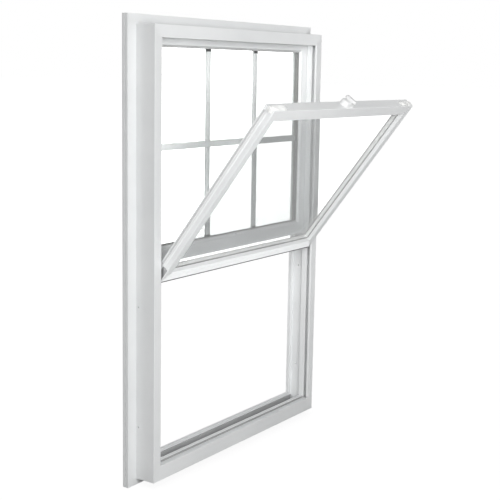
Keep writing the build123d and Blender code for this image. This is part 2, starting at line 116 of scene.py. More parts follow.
def feed(links, value, socket):
    """Gives a socket a plain number, or links it to another node's output."""
    if isinstance(value, float):
        socket.default_value = value
    else:
        links.new(value, socket)


def math_node(nodes, links, operation, first, second):
    """The result of a sum on two values."""
    node = nodes.new("ShaderNodeMath")
    node.operation = operation
    feed(links, first, node.inputs[0])
    feed(links, second, node.inputs[1])
    return node.outputs["Value"]


def mixed(nodes, links, share, first, second):
    """A mix of two shaders, where share is how much of the second shows."""
    node = nodes.new("ShaderNodeMixShader")
    feed(links, share, node.inputs["Fac"])
    links.new(first, node.inputs[1])
    links.new(second, node.inputs[2])
    return node.outputs["Shader"]


def matt_grey(nodes, tone):
    """A matt grey shader of one tone."""
    node = nodes.new("ShaderNodeBsdfDiffuse")
    node.inputs["Color"].default_value = (tone, tone, tone, 1)
    return node.outputs["BSDF"]


def direct_view(nodes, links):
    """Two values: 1 for what the camera sees directly or through glass, and 1 through glass alone.

    Light that a surface has mirrored or scattered counts as neither, so that the white seen through
    the panes doesn't light the bars behind them.
    """
    path = nodes.new("ShaderNodeLightPath")
    bounces = math_node(
        nodes, links, "ADD", path.outputs["Glossy Depth"], path.outputs["Diffuse Depth"])
    # Bounces are whole numbers, so less than half of one is none.
    straight = math_node(nodes, links, "LESS_THAN", bounces, HALF_A_BOUNCE)
    through = math_node(nodes, links, "MULTIPLY", path.outputs["Is Transmission Ray"], straight)
    direct = math_node(nodes, links, "MAXIMUM", path.outputs["Is Camera Ray"], through)
    return direct, through


def white_strength(nodes, links, through):
    """1 in the open and more through the panes, so that the background stays white in them."""
    node = nodes.new("ShaderNodeMapRange")
    node.inputs["To Min"].default_value = 1.0
    node.inputs["To Max"].default_value = THROUGH_GLASS
    links.new(through, node.inputs["Value"])
    return node.outputs["Result"]


bpy.context.scene.view_settings.view_transform = "Standard"
bpy.ops.mesh.primitive_plane_add(size=FLOOR_SIZE, location=(0, 0, cad_low[2] - FLOOR_GAP))
floor = bpy.context.object
floor.name = "studio_floor"
floor_paint, nodes, links = new_material("studio_floor_paint")
nodes.remove(nodes["Principled BSDF"])
direct, through = direct_view(nodes, links)
glowing = nodes.new("ShaderNodeEmission")
links.new(white_strength(nodes, links, through), glowing.inputs["Strength"])
seen = mixed(nodes, links, FLOOR_GLOW, matt_grey(nodes, FLOOR_PALE), glowing.outputs["Emission"])
surface = mixed(nodes, links, direct, matt_grey(nodes, FLOOR_DIM), seen)
links.new(surface, nodes["Material Output"].inputs["Surface"])
floor.data.materials.append(floor_paint)
print("floor at", round(floor.location.z, 4))

# %% Studio world
FRONT_GLOW = 0.08
BACK_GLOW = 0.53

world = bpy.data.worlds.new("studio_world")
world.use_nodes = True
bpy.context.scene.world = world
nodes = world.node_tree.nodes
links = world.node_tree.links
backdrop = nodes["Background"]
backdrop.inputs["Color"].default_value = (1, 1, 1, 1)
direction = nodes.new("ShaderNodeTexCoord")
parts = nodes.new("ShaderNodeSeparateXYZ")
# Y runs from -1 straight indoors to 1 straight outdoors.
glow = nodes.new("ShaderNodeMapRange")
glow.inputs["From Min"].default_value = -1
glow.inputs["To Min"].default_value = FRONT_GLOW
glow.inputs["To Max"].default_value = BACK_GLOW
strength = nodes.new("ShaderNodeMix")
direct, through = direct_view(nodes, links)
links.new(direction.outputs["Generated"], parts.inputs["Vector"])
links.new(parts.outputs["Y"], glow.inputs["Value"])
links.new(direct, strength.inputs["Factor"])
links.new(glow.outputs["Result"], strength.inputs["A"])
links.new(white_strength(nodes, links, through), strength.inputs["B"])
links.new(strength.outputs["Result"], backdrop.inputs["Strength"])
print("world glows from", BACK_GLOW, "to", FRONT_GLOW)

# %% [markdown]
# ## Studio lights
# One soft light at the left of the room shapes the bars. A weak one further left brightens the
# sides of the sashes, and is kept off the two jambs and the left casing, as a studio does with a
# flag. Four small lights each lift one place: a low strip the face of the bottom rail, a narrow
# beam the far jamb and the stile beside it, a light at the right the far ends of the head and the
# check rail, and one from above the two latches. A weak sun falls on the outdoor side, and a
# stronger one on the floor alone. Flags and screens could be modelled to keep each light in its
# place, but light linking does it with a list of what a light falls on.


# %% Helpers for lights
def aim(light, target):
    """Turns a light towards a point."""
    way = Vector(target) - light.location
    light.rotation_euler = way.to_track_quat("-Z", "Y").to_euler()


def soft_light(name, place, target, size, energy, mirrored=True):
    """A square soft light turned towards a point, which glossy faces show only where mirrored."""
    bpy.ops.object.light_add(type="AREA", location=place)
    light = bpy.context.object
    light.name = name
    light.data.size = size
    light.data.energy = energy
    light.visible_glossy = mirrored
    aim(light, target)
    return light


def sun(name, place, energy, degrees):
    """A sun whose disc is some degrees wide, and which glossy faces don't show."""
    bpy.ops.object.light_add(type="SUN", location=place)
    light = bpy.context.object
    light.name = name
    light.data.energy = energy
    light.data.angle = math.radians(degrees)
    light.visible_glossy = False
    return light


def falls_on(light, label, members, state="INCLUDE"):
    """Lets a light fall on some objects only, or with EXCLUDE on all but those."""
    group = bpy.data.collections.new(label)
    for member in members:
        group.objects.link(member)
    for member in group.collection_objects:
        member.light_linking.link_state = state
    light.light_linking.receiver_collection = group


def nodes_named(*names):
    """The CAD nodes of these names."""
    return [frame["nodes"][name] for name in names]


# %% Studio lights
MIDDLE = (0, 0, 0.85)

floor_light = sun("floor_light", place=(0, 0, 4), energy=3.2, degrees=60)
falls_on(floor_light, "lit_by_floor_light", [floor])

soft_light("front_light", place=(-1.6, -2.65, 1.5), target=MIDDLE, size=1.6, energy=59)
side_light = soft_light("side_light", place=(-3.0, -0.7, 1.4), target=MIDDLE, size=1.6, energy=17.5)
falls_on(side_light, "shaded_from_side_light",
         nodes_named("left_jamb", "left_casing", "right_jamb"), "EXCLUDE")

rail_light = soft_light("rail_light", place=(0, -0.42, 0.1), target=(0, -0.06, 0.62),
                        size=1.4, energy=3.0)
rail_light.data.shape = "RECTANGLE"
rail_light.data.size_y = 0.2
falls_on(rail_light, "lit_by_rail_light", nodes_named("bottom_rail"))

jamb_light = soft_light("jamb_light", place=(-1.1, -0.8, 1.55), target=(0.43, 0, 0.85),
                        size=0.5, energy=2.85, mirrored=False)
jamb_light.data.spread = math.radians(90)
falls_on(jamb_light, "lit_by_jamb_light", nodes_named("right_jamb", "upper_right_stile"))

head_light = soft_light("head_light", place=(0.9, -0.9, 1.6), target=(0.3, -0.05, 1.3),
                        size=0.5, energy=2.3, mirrored=False)
falls_on(head_light, "lit_by_head_light",
         nodes_named("head_casing", "frame_head", "upper_top_rail", "check_rail"))

latch_light = soft_light("latch_light", place=(0, -1.2, 1.9), target=(0, -0.42, 1.1),
                         size=0.5, energy=3.6, mirrored=False)
falls_on(latch_light, "lit_by_latch_light", nodes_named("left_tilt_latch", "right_tilt_latch"))

outdoor_light = sun("outdoor_light", place=(4, 4, 2), energy=1.2, degrees=20)
outdoor_light.visible_transmission = False
aim(outdoor_light, (0, 0, 1))
falls_on(outdoor_light, "floor_out_of_outdoor_light", [floor], "EXCLUDE")

# %% [markdown]
# ## Vinyl
# White vinyl is extruded, so its faces have a satin gloss with very fine lines along each bar and a
# faint unevenness. One flat white would look like plaster, and a painted picture would need an
# unwrapped map for every bar. The same effect is on every bar, so it is one shader group: a noise
# stretched along the bar for the lines, and a broad noise for the unevenness. Each material then
# turns the pattern to the direction of its own bars.

# %% Shader group for extruded bars
LINE_SCALE = 900.0
CLOUD_SCALE = 6.0
LINE_STRETCH = 0.004


def new_group(name, inputs, outputs):
    """A shader node group with a vector input, number inputs with defaults, and number outputs."""
    group = bpy.data.node_groups.new(name, "ShaderNodeTree")
    group.interface.new_socket("Vector", in_out="INPUT", socket_type="NodeSocketVector")
    for label, value in inputs.items():
        socket = group.interface.new_socket(label, in_out="INPUT", socket_type="NodeSocketFloat")
        socket.default_value = value
    for label in outputs:
        group.interface.new_socket(label, in_out="OUTPUT", socket_type="NodeSocketFloat")
    source = group.nodes.new("NodeGroupInput")
    result = group.nodes.new("NodeGroupOutput")
    return group, source, result


extruded, source, result = new_group(
    "extruded_surface", {"Line Scale": LINE_SCALE, "Cloud Scale": CLOUD_SCALE}, ["Lines", "Clouds"])
stretch = extruded.nodes.new("ShaderNodeMapping")
stretch.inputs["Scale"].default_value = (1, 1, LINE_STRETCH)
lines = extruded.nodes.new("ShaderNodeTexNoise")
lines.inputs["Detail"].default_value = 2
clouds = extruded.nodes.new("ShaderNodeTexNoise")
clouds.inputs["Detail"].default_value = 4
extruded.links.new(source.outputs["Vector"], stretch.inputs["Vector"])
extruded.links.new(stretch.outputs["Vector"], lines.inputs["Vector"])
extruded.links.new(source.outputs["Line Scale"], lines.inputs["Scale"])
extruded.links.new(source.outputs["Vector"], clouds.inputs["Vector"])
extruded.links.new(source.outputs["Cloud Scale"], clouds.inputs["Scale"])
extruded.links.new(lines.outputs["Fac"], result.inputs["Lines"])
extruded.links.new(clouds.outputs["Fac"], result.inputs["Clouds"])
print("group:", extruded.name, len(extruded.nodes), "nodes")

# %% A finish from a shader group
RAMP_START, RAMP_END = 0.3, 0.7


def ramp(nodes, low, high):
    """A colour ramp from low to high."""
    node = nodes.new("ShaderNodeValToRGB")
    start, end = node.color_ramp.elements
    start.color = (*low, 1)
    end.color = (*high, 1)
    start.position = RAMP_START
    end.position = RAMP_END
    return node


def spread(nodes, low, high):
    """A map from 0 to 1 onto low to high."""
    node = nodes.new("ShaderNodeMapRange")
    node.inputs["To Min"].default_value = low
    node.inputs["To Max"].default_value = high
    return node


def patterned(name, group, outputs, low, high, rough, relief, depth):
    """A finish whose colour, roughness and relief follow three outputs of a shader group.

    low and high are the two colours it drifts between, and rough the two ends of its roughness.
    """
    material, nodes, links = new_material(name)
    shader = nodes["Principled BSDF"]
    surface = nodes.new("ShaderNodeGroup")
    surface.node_tree = group
    colour = ramp(nodes, low, high)
    gloss = spread(nodes, *rough)
    bump = nodes.new("ShaderNodeBump")
    bump.inputs["Strength"].default_value = relief
    bump.inputs["Distance"].default_value = depth
    targets = (colour.inputs["Fac"], gloss.inputs["Value"], bump.inputs["Height"])
    for output, target in zip(outputs, targets):
        links.new(surface.outputs[output], target)
    links.new(colour.outputs["Color"], shader.inputs["Base Color"])
    links.new(gloss.outputs["Result"], shader.inputs["Roughness"])
    links.new(bump.outputs["Normal"], shader.inputs["Normal"])
    print("finish:", name)
    return material, surface


# %% A finish with lines along a bar
LINE_DEPTH = 0.0004
VINYL_IOR = 1.53


def lined_finish(name, low, high, rough, bar_turn=(0, 0, 0), relief=0.06,
                 line_scale=LINE_SCALE, cloud_scale=CLOUD_SCALE):
    """A finish with fine lines along a bar; bar_turn turns the bar's own direction to Z."""
    material, surface = patterned(
        name, extruded, ("Clouds", "Lines", "Lines"), low, high, rough, relief, LINE_DEPTH)
    nodes = material.node_tree.nodes
    links = material.node_tree.links
    place = nodes.new("ShaderNodeTexCoord")
    along = nodes.new("ShaderNodeMapping")
    along.inputs["Rotation"].default_value = bar_turn
    surface.inputs["Line Scale"].default_value = line_scale
    surface.inputs["Cloud Scale"].default_value = cloud_scale
    links.new(place.outputs["Object"], along.inputs["Vector"])
    links.new(along.outputs["Vector"], surface.inputs["Vector"])
    nodes["Principled BSDF"].inputs["IOR"].default_value = VINYL_IOR
    return material


# %% Vinyl on the frame and the sashes
lift, tilt = frame["record"]["behaviour"]["joints"][:2]
TILT = -math.radians(tilt["range_deg"][0])
VINYL_SHADE = (0.84, 0.853, 0.857)
VINYL_WHITE = (0.895, 0.906, 0.908)
SATIN = (0.30, 0.42)
ALONG_X = (0, math.pi / 2, 0)
ALONG_STILE = (-TILT, 0, 0)


def finish(material, *names):
    """Gives CAD nodes a material in place of their plain one."""
    for node in nodes_named(*names):
        node.data.materials.clear()
        node.data.materials.append(material)


upright_vinyl = lined_finish("vinyl_on_uprights", VINYL_SHADE, VINYL_WHITE, SATIN)
level_vinyl = lined_finish("vinyl_on_level_bars", VINYL_SHADE, VINYL_WHITE, SATIN, ALONG_X)
leaning_vinyl = lined_finish(
    "vinyl_on_leaning_stiles", VINYL_SHADE, VINYL_WHITE, SATIN, ALONG_STILE)
finish(upright_vinyl, "left_jamb", "right_jamb", "left_casing", "right_casing",
       "upper_left_stile", "upper_right_stile")
finish(level_vinyl, "frame_head", "frame_sill", "head_casing", "sill_casing",
       "upper_top_rail", "meeting_rail", "check_rail", "bottom_rail")
finish(leaning_vinyl, "lower_left_stile", "lower_right_stile")
print("sash leans", round(math.degrees(TILT), 1), "degrees")

# %% [markdown]
# ## Glass
# Each sash has two panes with a spacer bar between them. The lower sash's glass is a little tinted,
# as coated glass is, which shows where the frame is seen through it. A transparent shader alone
# would mirror nothing, so the panes are Principled shaders with full transmission. A path tracer
# lets no plain light through such glass to what lies behind it, so the panes turn transparent for
# shadow rays, with the tint that the real shadow has.

# %% Panes
GLASS_IOR = 1.5


def pane_glass(name, tint, shadow):
    """Glass with a tint for what is seen through it and a tint for its shadow."""
    material, nodes, links = new_material(name)
    shader = nodes["Principled BSDF"]
    shader.inputs["Base Color"].default_value = (*tint, 1)
    shader.inputs["Roughness"].default_value = 0.0
    shader.inputs["IOR"].default_value = GLASS_IOR
    shader.inputs["Transmission Weight"].default_value = 1.0
    path = nodes.new("ShaderNodeLightPath")
    clear = nodes.new("ShaderNodeBsdfTransparent")
    clear.inputs["Color"].default_value = (*shadow, 1)
    pane = mixed(nodes, links, path.outputs["Is Shadow Ray"],
                 shader.outputs["BSDF"], clear.outputs["BSDF"])
    links.new(pane, nodes["Material Output"].inputs["Surface"])
    return material


clear_glass = pane_glass("clear_glass", tint=(0.985, 0.995, 0.99), shadow=(0.96, 0.965, 0.96))
coated_glass = pane_glass("coated_glass", tint=(0.87, 0.875, 0.875), shadow=(0.92, 0.925, 0.925))
finish(clear_glass, "upper_inner_pane", "upper_outer_pane")
finish(coated_glass, "lower_inner_pane", "lower_outer_pane")
print("panes:", clear_glass.name, coated_glass.name)

# %% [markdown]
# ## Hardware finishes
# The spacers are strips with fine lines along them, grey in the upper sash and pale in the lower
# one. The lock and its keeper are painted metal, the latches are smooth moulded plastic, the
# balance shoes are a duller grey plastic, and the pivot bars are bright steel. Moulded and painted
# pieces have a fine pebble grain, too fine to be modelled, so a second group mixes two noises, one
# for the grain and one for the drift of the colour.

# %% Shader group for moulded and painted pieces
moulded, source, result = new_group(
    "moulded_surface", {"Grain Scale": 1400.0, "Drift Scale": 30.0}, ["Grain", "Drift"])
grain = moulded.nodes.new("ShaderNodeTexVoronoi")
drift = moulded.nodes.new("ShaderNodeTexNoise")
drift.inputs["Detail"].default_value = 3
moulded.links.new(source.outputs["Vector"], grain.inputs["Vector"])
moulded.links.new(source.outputs["Grain Scale"], grain.inputs["Scale"])
moulded.links.new(source.outputs["Vector"], drift.inputs["Vector"])
moulded.links.new(source.outputs["Drift Scale"], drift.inputs["Scale"])
moulded.links.new(grain.outputs["Distance"], result.inputs["Grain"])
moulded.links.new(drift.outputs["Fac"], result.inputs["Drift"])
print("group:", moulded.name, len(moulded.nodes), "nodes")

# %% Moulded and painted finishes
GRAIN_DEPTH = 0.0002


def moulded_finish(name, low, high, rough, relief=0.05, metallic=0.0):
    """A finish with a fine pebble grain, between two colours and two roughness values."""
    material, surface = patterned(
        name, moulded, ("Drift", "Drift", "Grain"), low, high, rough, relief, GRAIN_DEPTH)
    nodes = material.node_tree.nodes
    place = nodes.new("ShaderNodeTexCoord")
    material.node_tree.links.new(place.outputs["Object"], surface.inputs["Vector"])
    nodes["Principled BSDF"].inputs["Metallic"].default_value = metallic
    return material


white_paint = moulded_finish(
    "white_painted_metal", (0.88, 0.885, 0.885), (0.92, 0.925, 0.925), rough=(0.18, 0.28))
white_plastic = moulded_finish(
    "white_latch_plastic", (0.90, 0.905, 0.89), (0.94, 0.945, 0.935), rough=(0.28, 0.38))
grey_plastic = moulded_finish(
    "grey_shoe_plastic", (0.24, 0.245, 0.25), (0.30, 0.305, 0.31), rough=(0.45, 0.6), relief=0.1)
bright_steel = moulded_finish(
    "pivot_steel", (0.50, 0.50, 0.50), (0.58, 0.58, 0.59), rough=(0.28, 0.42), metallic=1.0)
finish(white_paint, "lock_keeper", "sash_lock_base", "sash_lock_lever")
finish(white_plastic, "left_tilt_latch", "right_tilt_latch")
finish(grey_plastic, "left_balance_shoe", "right_balance_shoe")
finish(bright_steel, "left_pivot_bar", "right_pivot_bar")

# %% Spacer strips
STRIP = {"rough": (0.35, 0.5), "relief": 0.12, "line_scale": 2500.0}

spacer_strip = lined_finish("grey_spacer_strip", (0.20, 0.20, 0.195), (0.26, 0.26, 0.25), **STRIP)
pale_strip = lined_finish(
    "pale_spacer_strip", (0.90, 0.90, 0.89), (0.94, 0.94, 0.93), bar_turn=ALONG_STILE, **STRIP)
finish(spacer_strip, "upper_spacer")
finish(pale_strip, "lower_spacer")

# %% [markdown]
# ## Tools for new pieces
# The pieces below are modelled as by hand: a primitive is added at its size, shaped in edit mode
# and finished with modifiers. Their points could be written out instead, but these steps are the
# ones that a hand would take. A few helpers keep each step to one line. The lower sash is simpler
# to work on upright and shut, so its pieces are made there and then leaned with it.

# %% Helpers for modelling
SMOOTH_ANGLE = 35


def only(piece):
    """Selects one piece and makes it the active one."""
    bpy.ops.object.select_all(action="DESELECT")
    piece.select_set(True)
    bpy.context.view_layer.objects.active = piece


def place_applied():
    """Puts the active piece's place, turn and scale into its mesh."""
    bpy.ops.object.transform_apply(location=True, rotation=True, scale=True)


def edit(piece, mode="FACE"):
    """Goes into edit mode on one piece, selecting by faces, edges or verts."""
    only(piece)
    bpy.ops.object.mode_set(mode="EDIT")
    bpy.ops.mesh.select_mode(type=mode)


def edit_done():
    """Goes back to object mode."""
    bpy.ops.object.mode_set(mode="OBJECT")


def applied(piece, kind, **settings):
    """Adds a modifier with its settings and applies it."""
    only(piece)
    modifier = piece.modifiers.new(kind.lower(), kind)
    for key, value in settings.items():
        setattr(modifier, key, value)
    bpy.ops.object.modifier_apply(modifier=modifier.name)


def ready(piece, material, body):
    """Smooths a finished piece by its angles, gives it a finish and lets it ride on a body."""
    only(piece)
    bpy.ops.object.shade_smooth_by_angle(angle=math.radians(SMOOTH_ANGLE))
    piece.data.materials.clear()
    piece.data.materials.append(material)
    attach(piece, body)
    print(piece.name, len(piece.data.polygons), "faces, on", body)


# %% The lower sash's pose
PIVOT = Vector(tilt["pos_m"])
SHUT_DROP = Vector((0, 0, lift["range_m"][0]))
SASH_POSE = (Matrix.Translation(PIVOT) @ Matrix.Rotation(TILT, 4, "X")
             @ Matrix.Translation(-(PIVOT + SHUT_DROP)))


def leaned(piece):
    """Takes a piece made on the upright, shut sash to where the sash is shown."""
    piece.matrix_world = SASH_POSE
    only(piece)
    place_applied()
    return piece


print("pivot", tuple(PIVOT), "shut pivot height", round(PIVOT.z + SHUT_DROP.z, 5))

# %% [markdown]
# ## Glazing gaskets
# A soft gasket runs round each pane where it meets the bars, on both sides of the glass. It is pale
# in the upper sash, where it hides the front of the dark spacer, and grey in the lower one. Four
# strips could be mitred at the corners, but one ring has no joints to close: a plane of the size of
# the daylight opening is inset to a narrow rim, its middle is deleted, and the rim is given its
# thickness and soft edges.

# %% Gaskets round the panes
LOWER_LIGHT = (-0.380, 0.10075, 0.380, 0.65175)
LOWER_GLASS = (-0.0548, -0.0372)
LOWER_RIM = 0.0026
UPPER_LIGHT = (-0.383, 0.69575, 0.383, 1.27075)
UPPER_GLASS = (-0.0188, -0.0012)
UPPER_RIM = 0.0031
GASKET_HIDDEN = 0.0015
GASKET_THICK = 0.0013
GASKET_ROUND = 0.0004
DULL = (0.55, 0.7)

gasket_rubber = moulded_finish(
    "grey_gasket_rubber", (0.32, 0.32, 0.32), (0.38, 0.38, 0.38), DULL, relief=0.1)
pale_rubber = moulded_finish(
    "pale_gasket_rubber", (0.55, 0.55, 0.55), (0.62, 0.62, 0.62), DULL, relief=0.1)


def gasket(name, light, glass_y, side, width):
    """A rim round a daylight opening, on the pane's face at glass_y.

    side is -1 indoors and 1 outdoors.
    """
    left, low, right, high = light
    bpy.ops.object.select_all(action="DESELECT")
    bpy.ops.mesh.primitive_plane_add(size=1, rotation=(math.pi / 2, 0, 0))
    rim = bpy.context.object
    rim.name = name
    rim.location = ((left + right) / 2, glass_y + side * GASKET_THICK / 2, (low + high) / 2)
    rim.scale = (right - left + 2 * GASKET_HIDDEN, high - low + 2 * GASKET_HIDDEN, 1)
    place_applied()
    edit(rim)
    bpy.ops.mesh.select_all(action="SELECT")
    bpy.ops.mesh.inset(thickness=width + GASKET_HIDDEN)
    bpy.ops.mesh.delete(type="FACE")
    edit_done()
    applied(rim, "SOLIDIFY", thickness=GASKET_THICK, offset=0)
    applied(rim, "BEVEL", width=GASKET_ROUND, segments=2)
    return rim


for index, (side, place) in enumerate(((-1, "indoor"), (1, "outdoor"))):
    upper_rim = gasket("upper_gasket_" + place, UPPER_LIGHT, UPPER_GLASS[index], side, UPPER_RIM)
    ready(upper_rim, pale_rubber, "frame")
    lower_rim = gasket("lower_gasket_" + place, LOWER_LIGHT, LOWER_GLASS[index], side, LOWER_RIM)
    ready(leaned(lower_rim), gasket_rubber, "lower_sash")

# %% [markdown]
# ## Grid between the upper panes
# The grid is made of slim contoured bars with a raised middle, clipped to the spacer. A bar could
# be a curve with a drawn profile, but a thin box is quicker: its broad faces are inset and pushed
# outwards, which gives the two sloped shoulders. The crossbar runs through, and four shorter bars
# meet it, so one short bar is made and copied.

# %% Helpers for blocks and copies
# A face or an edge's face points a way when its normal's share along it is above this.
FACING = 0.9


def new_block(name, low, high):
    """A box between two corners, with its place in its mesh."""
    bpy.ops.object.select_all(action="DESELECT")
    bpy.ops.mesh.primitive_cube_add(size=1)
    piece = bpy.context.object
    piece.name = name
    piece.location = (Vector(low) + Vector(high)) / 2
    piece.scale = Vector(high) - Vector(low)
    place_applied()
    return piece


def pick(piece, kind, wanted):
    """In edit mode, selects the verts, edges or faces for which wanted is true."""
    bpy.ops.mesh.select_all(action="DESELECT")
    mesh = bmesh.from_edit_mesh(piece.data)
    for item in getattr(mesh, kind):
        if wanted(item):
            item.select_set(True)
    mesh.select_flush_mode()
    bmesh.update_edit_mesh(piece.data)


def raised(piece, side, rim, rise):
    """In edit mode, insets the faces towards -Y or Y by a rim and pushes their middle out."""
    pick(piece, "faces", lambda face: face.normal.y * side > FACING)
    bpy.ops.mesh.inset(thickness=rim)
    bpy.ops.transform.translate(value=(0, side * rise, 0))


def copied(piece, name, move, turn=(0, 0, 0)):
    """A copy with its own mesh, turned and moved, with its place in its mesh."""
    copy = piece.copy()
    copy.data = piece.data.copy()
    copy.name = name
    bpy.context.collection.objects.link(copy)
    copy.location = move
    copy.rotation_euler = turn
    only(copy)
    place_applied()
    return copy


def joined(name, pieces):
    """Several pieces made one."""
    bpy.ops.object.select_all(action="DESELECT")
    for piece in pieces:
        piece.select_set(True)
    bpy.context.view_layer.objects.active = pieces[0]
    bpy.ops.object.join()
    pieces[0].name = name
    print(name, "joined from", len(pieces), "pieces")
    return pieces[0]


# %% Contoured bars
GRID_HALF = 0.380
GRID_LOW, GRID_HIGH = 0.69875, 1.26775
GRID_MIDDLE = (GRID_LOW + GRID_HIGH) / 2
GRID_Y = -0.010
BAR_WIDTH = 0.020
BAR_EDGE = 0.0062
BAR_RISE = 0.0009
BAR_ROUND = 0.0005
SHOULDER = 0.0048
COLUMNS = (-GRID_HALF / 3, GRID_HALF / 3)


def contoured_bar(name, low, high):
    """A thin bar in the plane of the glass whose two broad faces rise to a flat middle."""
    bar = new_block(name, (low[0], GRID_Y - BAR_EDGE / 2, low[1]),
                    (high[0], GRID_Y + BAR_EDGE / 2, high[1]))
    edit(bar)
    for side in (-1, 1):
        raised(bar, side, SHOULDER, BAR_RISE)
    edit_done()
    applied(bar, "BEVEL", width=BAR_ROUND, segments=2)
    return bar


crossbar = contoured_bar("crossbar", (-GRID_HALF, GRID_MIDDLE - BAR_WIDTH / 2),
                         (GRID_HALF, GRID_MIDDLE + BAR_WIDTH / 2))
first = contoured_bar("upright", (COLUMNS[0] - BAR_WIDTH / 2, GRID_LOW),
                      (COLUMNS[0] + BAR_WIDTH / 2, GRID_MIDDLE - BAR_WIDTH / 2))
step = COLUMNS[1] - COLUMNS[0]
rise = GRID_HIGH - GRID_MIDDLE + BAR_WIDTH / 2
uprights = [first]
for move in ((step, 0, 0), (0, 0, rise), (step, 0, rise)):
    uprights.append(copied(first, "upright", move))
grid = joined("contoured_grid", [crossbar] + uprights)
# The grid's paint is a light grey, not the white of the real bars: painted shade for the dim space
# between the panes.
grid_paint_with_painted_shade = moulded_finish(
    "grey_grid_paint_painted_shade", (0.74, 0.75, 0.755), (0.80, 0.81, 0.815), rough=(0.35, 0.45))
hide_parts("upper_grid")
ready(grid, grid_paint_with_painted_shade, "frame")

# %% Clips at the ends of the grid
CLIP = 0.008
CLIP_HALF_THICK = 0.0044
CLIP_ROUND = 0.001

clip_plastic = moulded_finish(
    "dark_clip_plastic", (0.07, 0.07, 0.07), (0.1, 0.1, 0.1), rough=(0.5, 0.65))
upright_clip = new_block("clip", (-BAR_WIDTH / 2, GRID_Y - CLIP_HALF_THICK, -CLIP / 2),
                         (BAR_WIDTH / 2, GRID_Y + CLIP_HALF_THICK, CLIP / 2))
applied(upright_clip, "BEVEL", width=CLIP_ROUND, segments=2)
clips = []
for x in COLUMNS:
    for z in (GRID_LOW + CLIP / 2, GRID_HIGH - CLIP / 2):
        clips.append(copied(upright_clip, "clip", (x, 0, z)))
for x in (-GRID_HALF + CLIP / 2, GRID_HALF - CLIP / 2):
    clips.append(copied(upright_clip, "clip", (x, 0, GRID_MIDDLE), (0, math.pi / 2, 0)))
bpy.data.objects.remove(upright_clip)
grid_clips = joined("grid_clips", clips)
ready(grid_clips, clip_plastic, "frame")

# %% [markdown]
# ## Weather seals and strips of painted shade
# A strip of pile sits in the groove round the lower sash and brushes the frame when the sash is
# shut. A dark bulb hangs under the indoor edge of the bottom rail, and its near-black is partly
# painted shade for the shadow line under the rail. A slim grey lip stands in the line at the foot
# of the sill's step, and a broader grey strip lines the outer stop above the trough. Both are
# painted
# shade: grey pieces that stand for the shade on the step's riser and deep in the trough. Each
# is a long box with soft edges, rounded over with a bevel where it is free. Hairs could make the
# pile, but at this size they only look like fine lines, so they are left to the material.

# %% Pile round the lower sash
SASH_HALF, SASH_LOW, SASH_HIGH = 0.413, 0.06475, 0.68975
SASH_FACE, SASH_BACK = -0.067, -0.033
GROOVE = (SASH_FACE + 0.0242, SASH_FACE + 0.0288)
GROOVE_FLOOR = 0.0024
PILE_PROUD = 0.0015
PILE_ABOVE_FOOT, PILE_BELOW_TOP, PILE_END = 0.048, 0.016, 0.004
FREE_ROUND = 0.0012
LONG_EDGE = 0.1

pile_fibre = lined_finish("grey_pile", (0.56, 0.565, 0.57), (0.66, 0.665, 0.67), (0.8, 0.95),
                          ALONG_X, relief=0.6, line_scale=1800.0, cloud_scale=200.0)


def rounded_strip(name, low, high, free):
    """A long strip between two corners, rounded over along the side that points to free."""
    strip = new_block(name, low, high)
    edit(strip, "EDGE")
    free = Vector(free)

    def on_free_side(edge):
        return edge.calc_length() > LONG_EDGE and any(
            face.normal.dot(free) > FACING for face in edge.link_faces)

    pick(strip, "edges", on_free_side)
    bpy.ops.mesh.bevel(offset=FREE_ROUND, segments=4)
    edit_done()
    return strip


for side, place in ((-1, "left"), (1, "right")):
    ends = sorted((side * (SASH_HALF + PILE_PROUD), side * (SASH_HALF - GROOVE_FLOOR)))
    strip = rounded_strip(place + "_pile", (ends[0], GROOVE[0], SASH_LOW + PILE_ABOVE_FOOT),
                          (ends[1], GROOVE[1], SASH_HIGH - PILE_BELOW_TOP), (side, 0, 0))
    ready(leaned(strip), pile_fibre, "lower_sash")
strip = rounded_strip("bottom_pile", (-SASH_HALF + PILE_END, GROOVE[0], SASH_LOW - PILE_PROUD),
                      (SASH_HALF - PILE_END, GROOVE[1], SASH_LOW + GROOVE_FLOOR), (0, 0, -1))
ready(leaned(strip), pile_fibre, "lower_sash")

# %% Bulb under the bottom rail and a lip of painted shade on the sill
BULB = (-0.0668, -0.0622)
BULB_DROP, BULB_SUNK, BULB_END = 0.0045, 0.0006, 0.006
SHADE_LIP = (-0.0478, -0.0457)
SHADE_LIP_LOW, SHADE_LIP_HIGH, SHADE_LIP_HALF = 0.0504, 0.0588, 0.417
RUBBER = {"rough": (0.5, 0.65), "bar_turn": ALONG_X, "relief": 0.2}

# The grey of this rubber is painted shade: the sill's lip and strip stand for the shade on the
# step's riser and deep in the trough.
painted_shade_rubber = lined_finish("grey_painted_shade_rubber", (0.36, 0.36, 0.365), (0.42, 0.42, 0.425), **RUBBER)
# The bulb is a real seal, but its near-black is partly painted shade: it stands for the shadow line
# under the bottom rail's edge.
bulb_rubber_with_painted_shade = lined_finish("dark_bulb_rubber_and_painted_shade", (0.07, 0.07, 0.072), (0.10, 0.10, 0.102), **RUBBER)
bulb = rounded_strip("bottom_bulb", (-SASH_HALF + BULB_END, BULB[0], SASH_LOW - BULB_DROP),
                     (SASH_HALF - BULB_END, BULB[1], SASH_LOW + BULB_SUNK), (0, 0, -1))
ready(leaned(bulb), bulb_rubber_with_painted_shade, "lower_sash")
# The lip is painted shade: a grey strip that stands for the shaded riser of the sill's step.
shade_lip = rounded_strip("sill_painted_shade_lip", (-SHADE_LIP_HALF, SHADE_LIP[0], SHADE_LIP_LOW),
                    (SHADE_LIP_HALF, SHADE_LIP[1], SHADE_LIP_HIGH), (0, 0, 1))
ready(shade_lip, painted_shade_rubber, "frame")

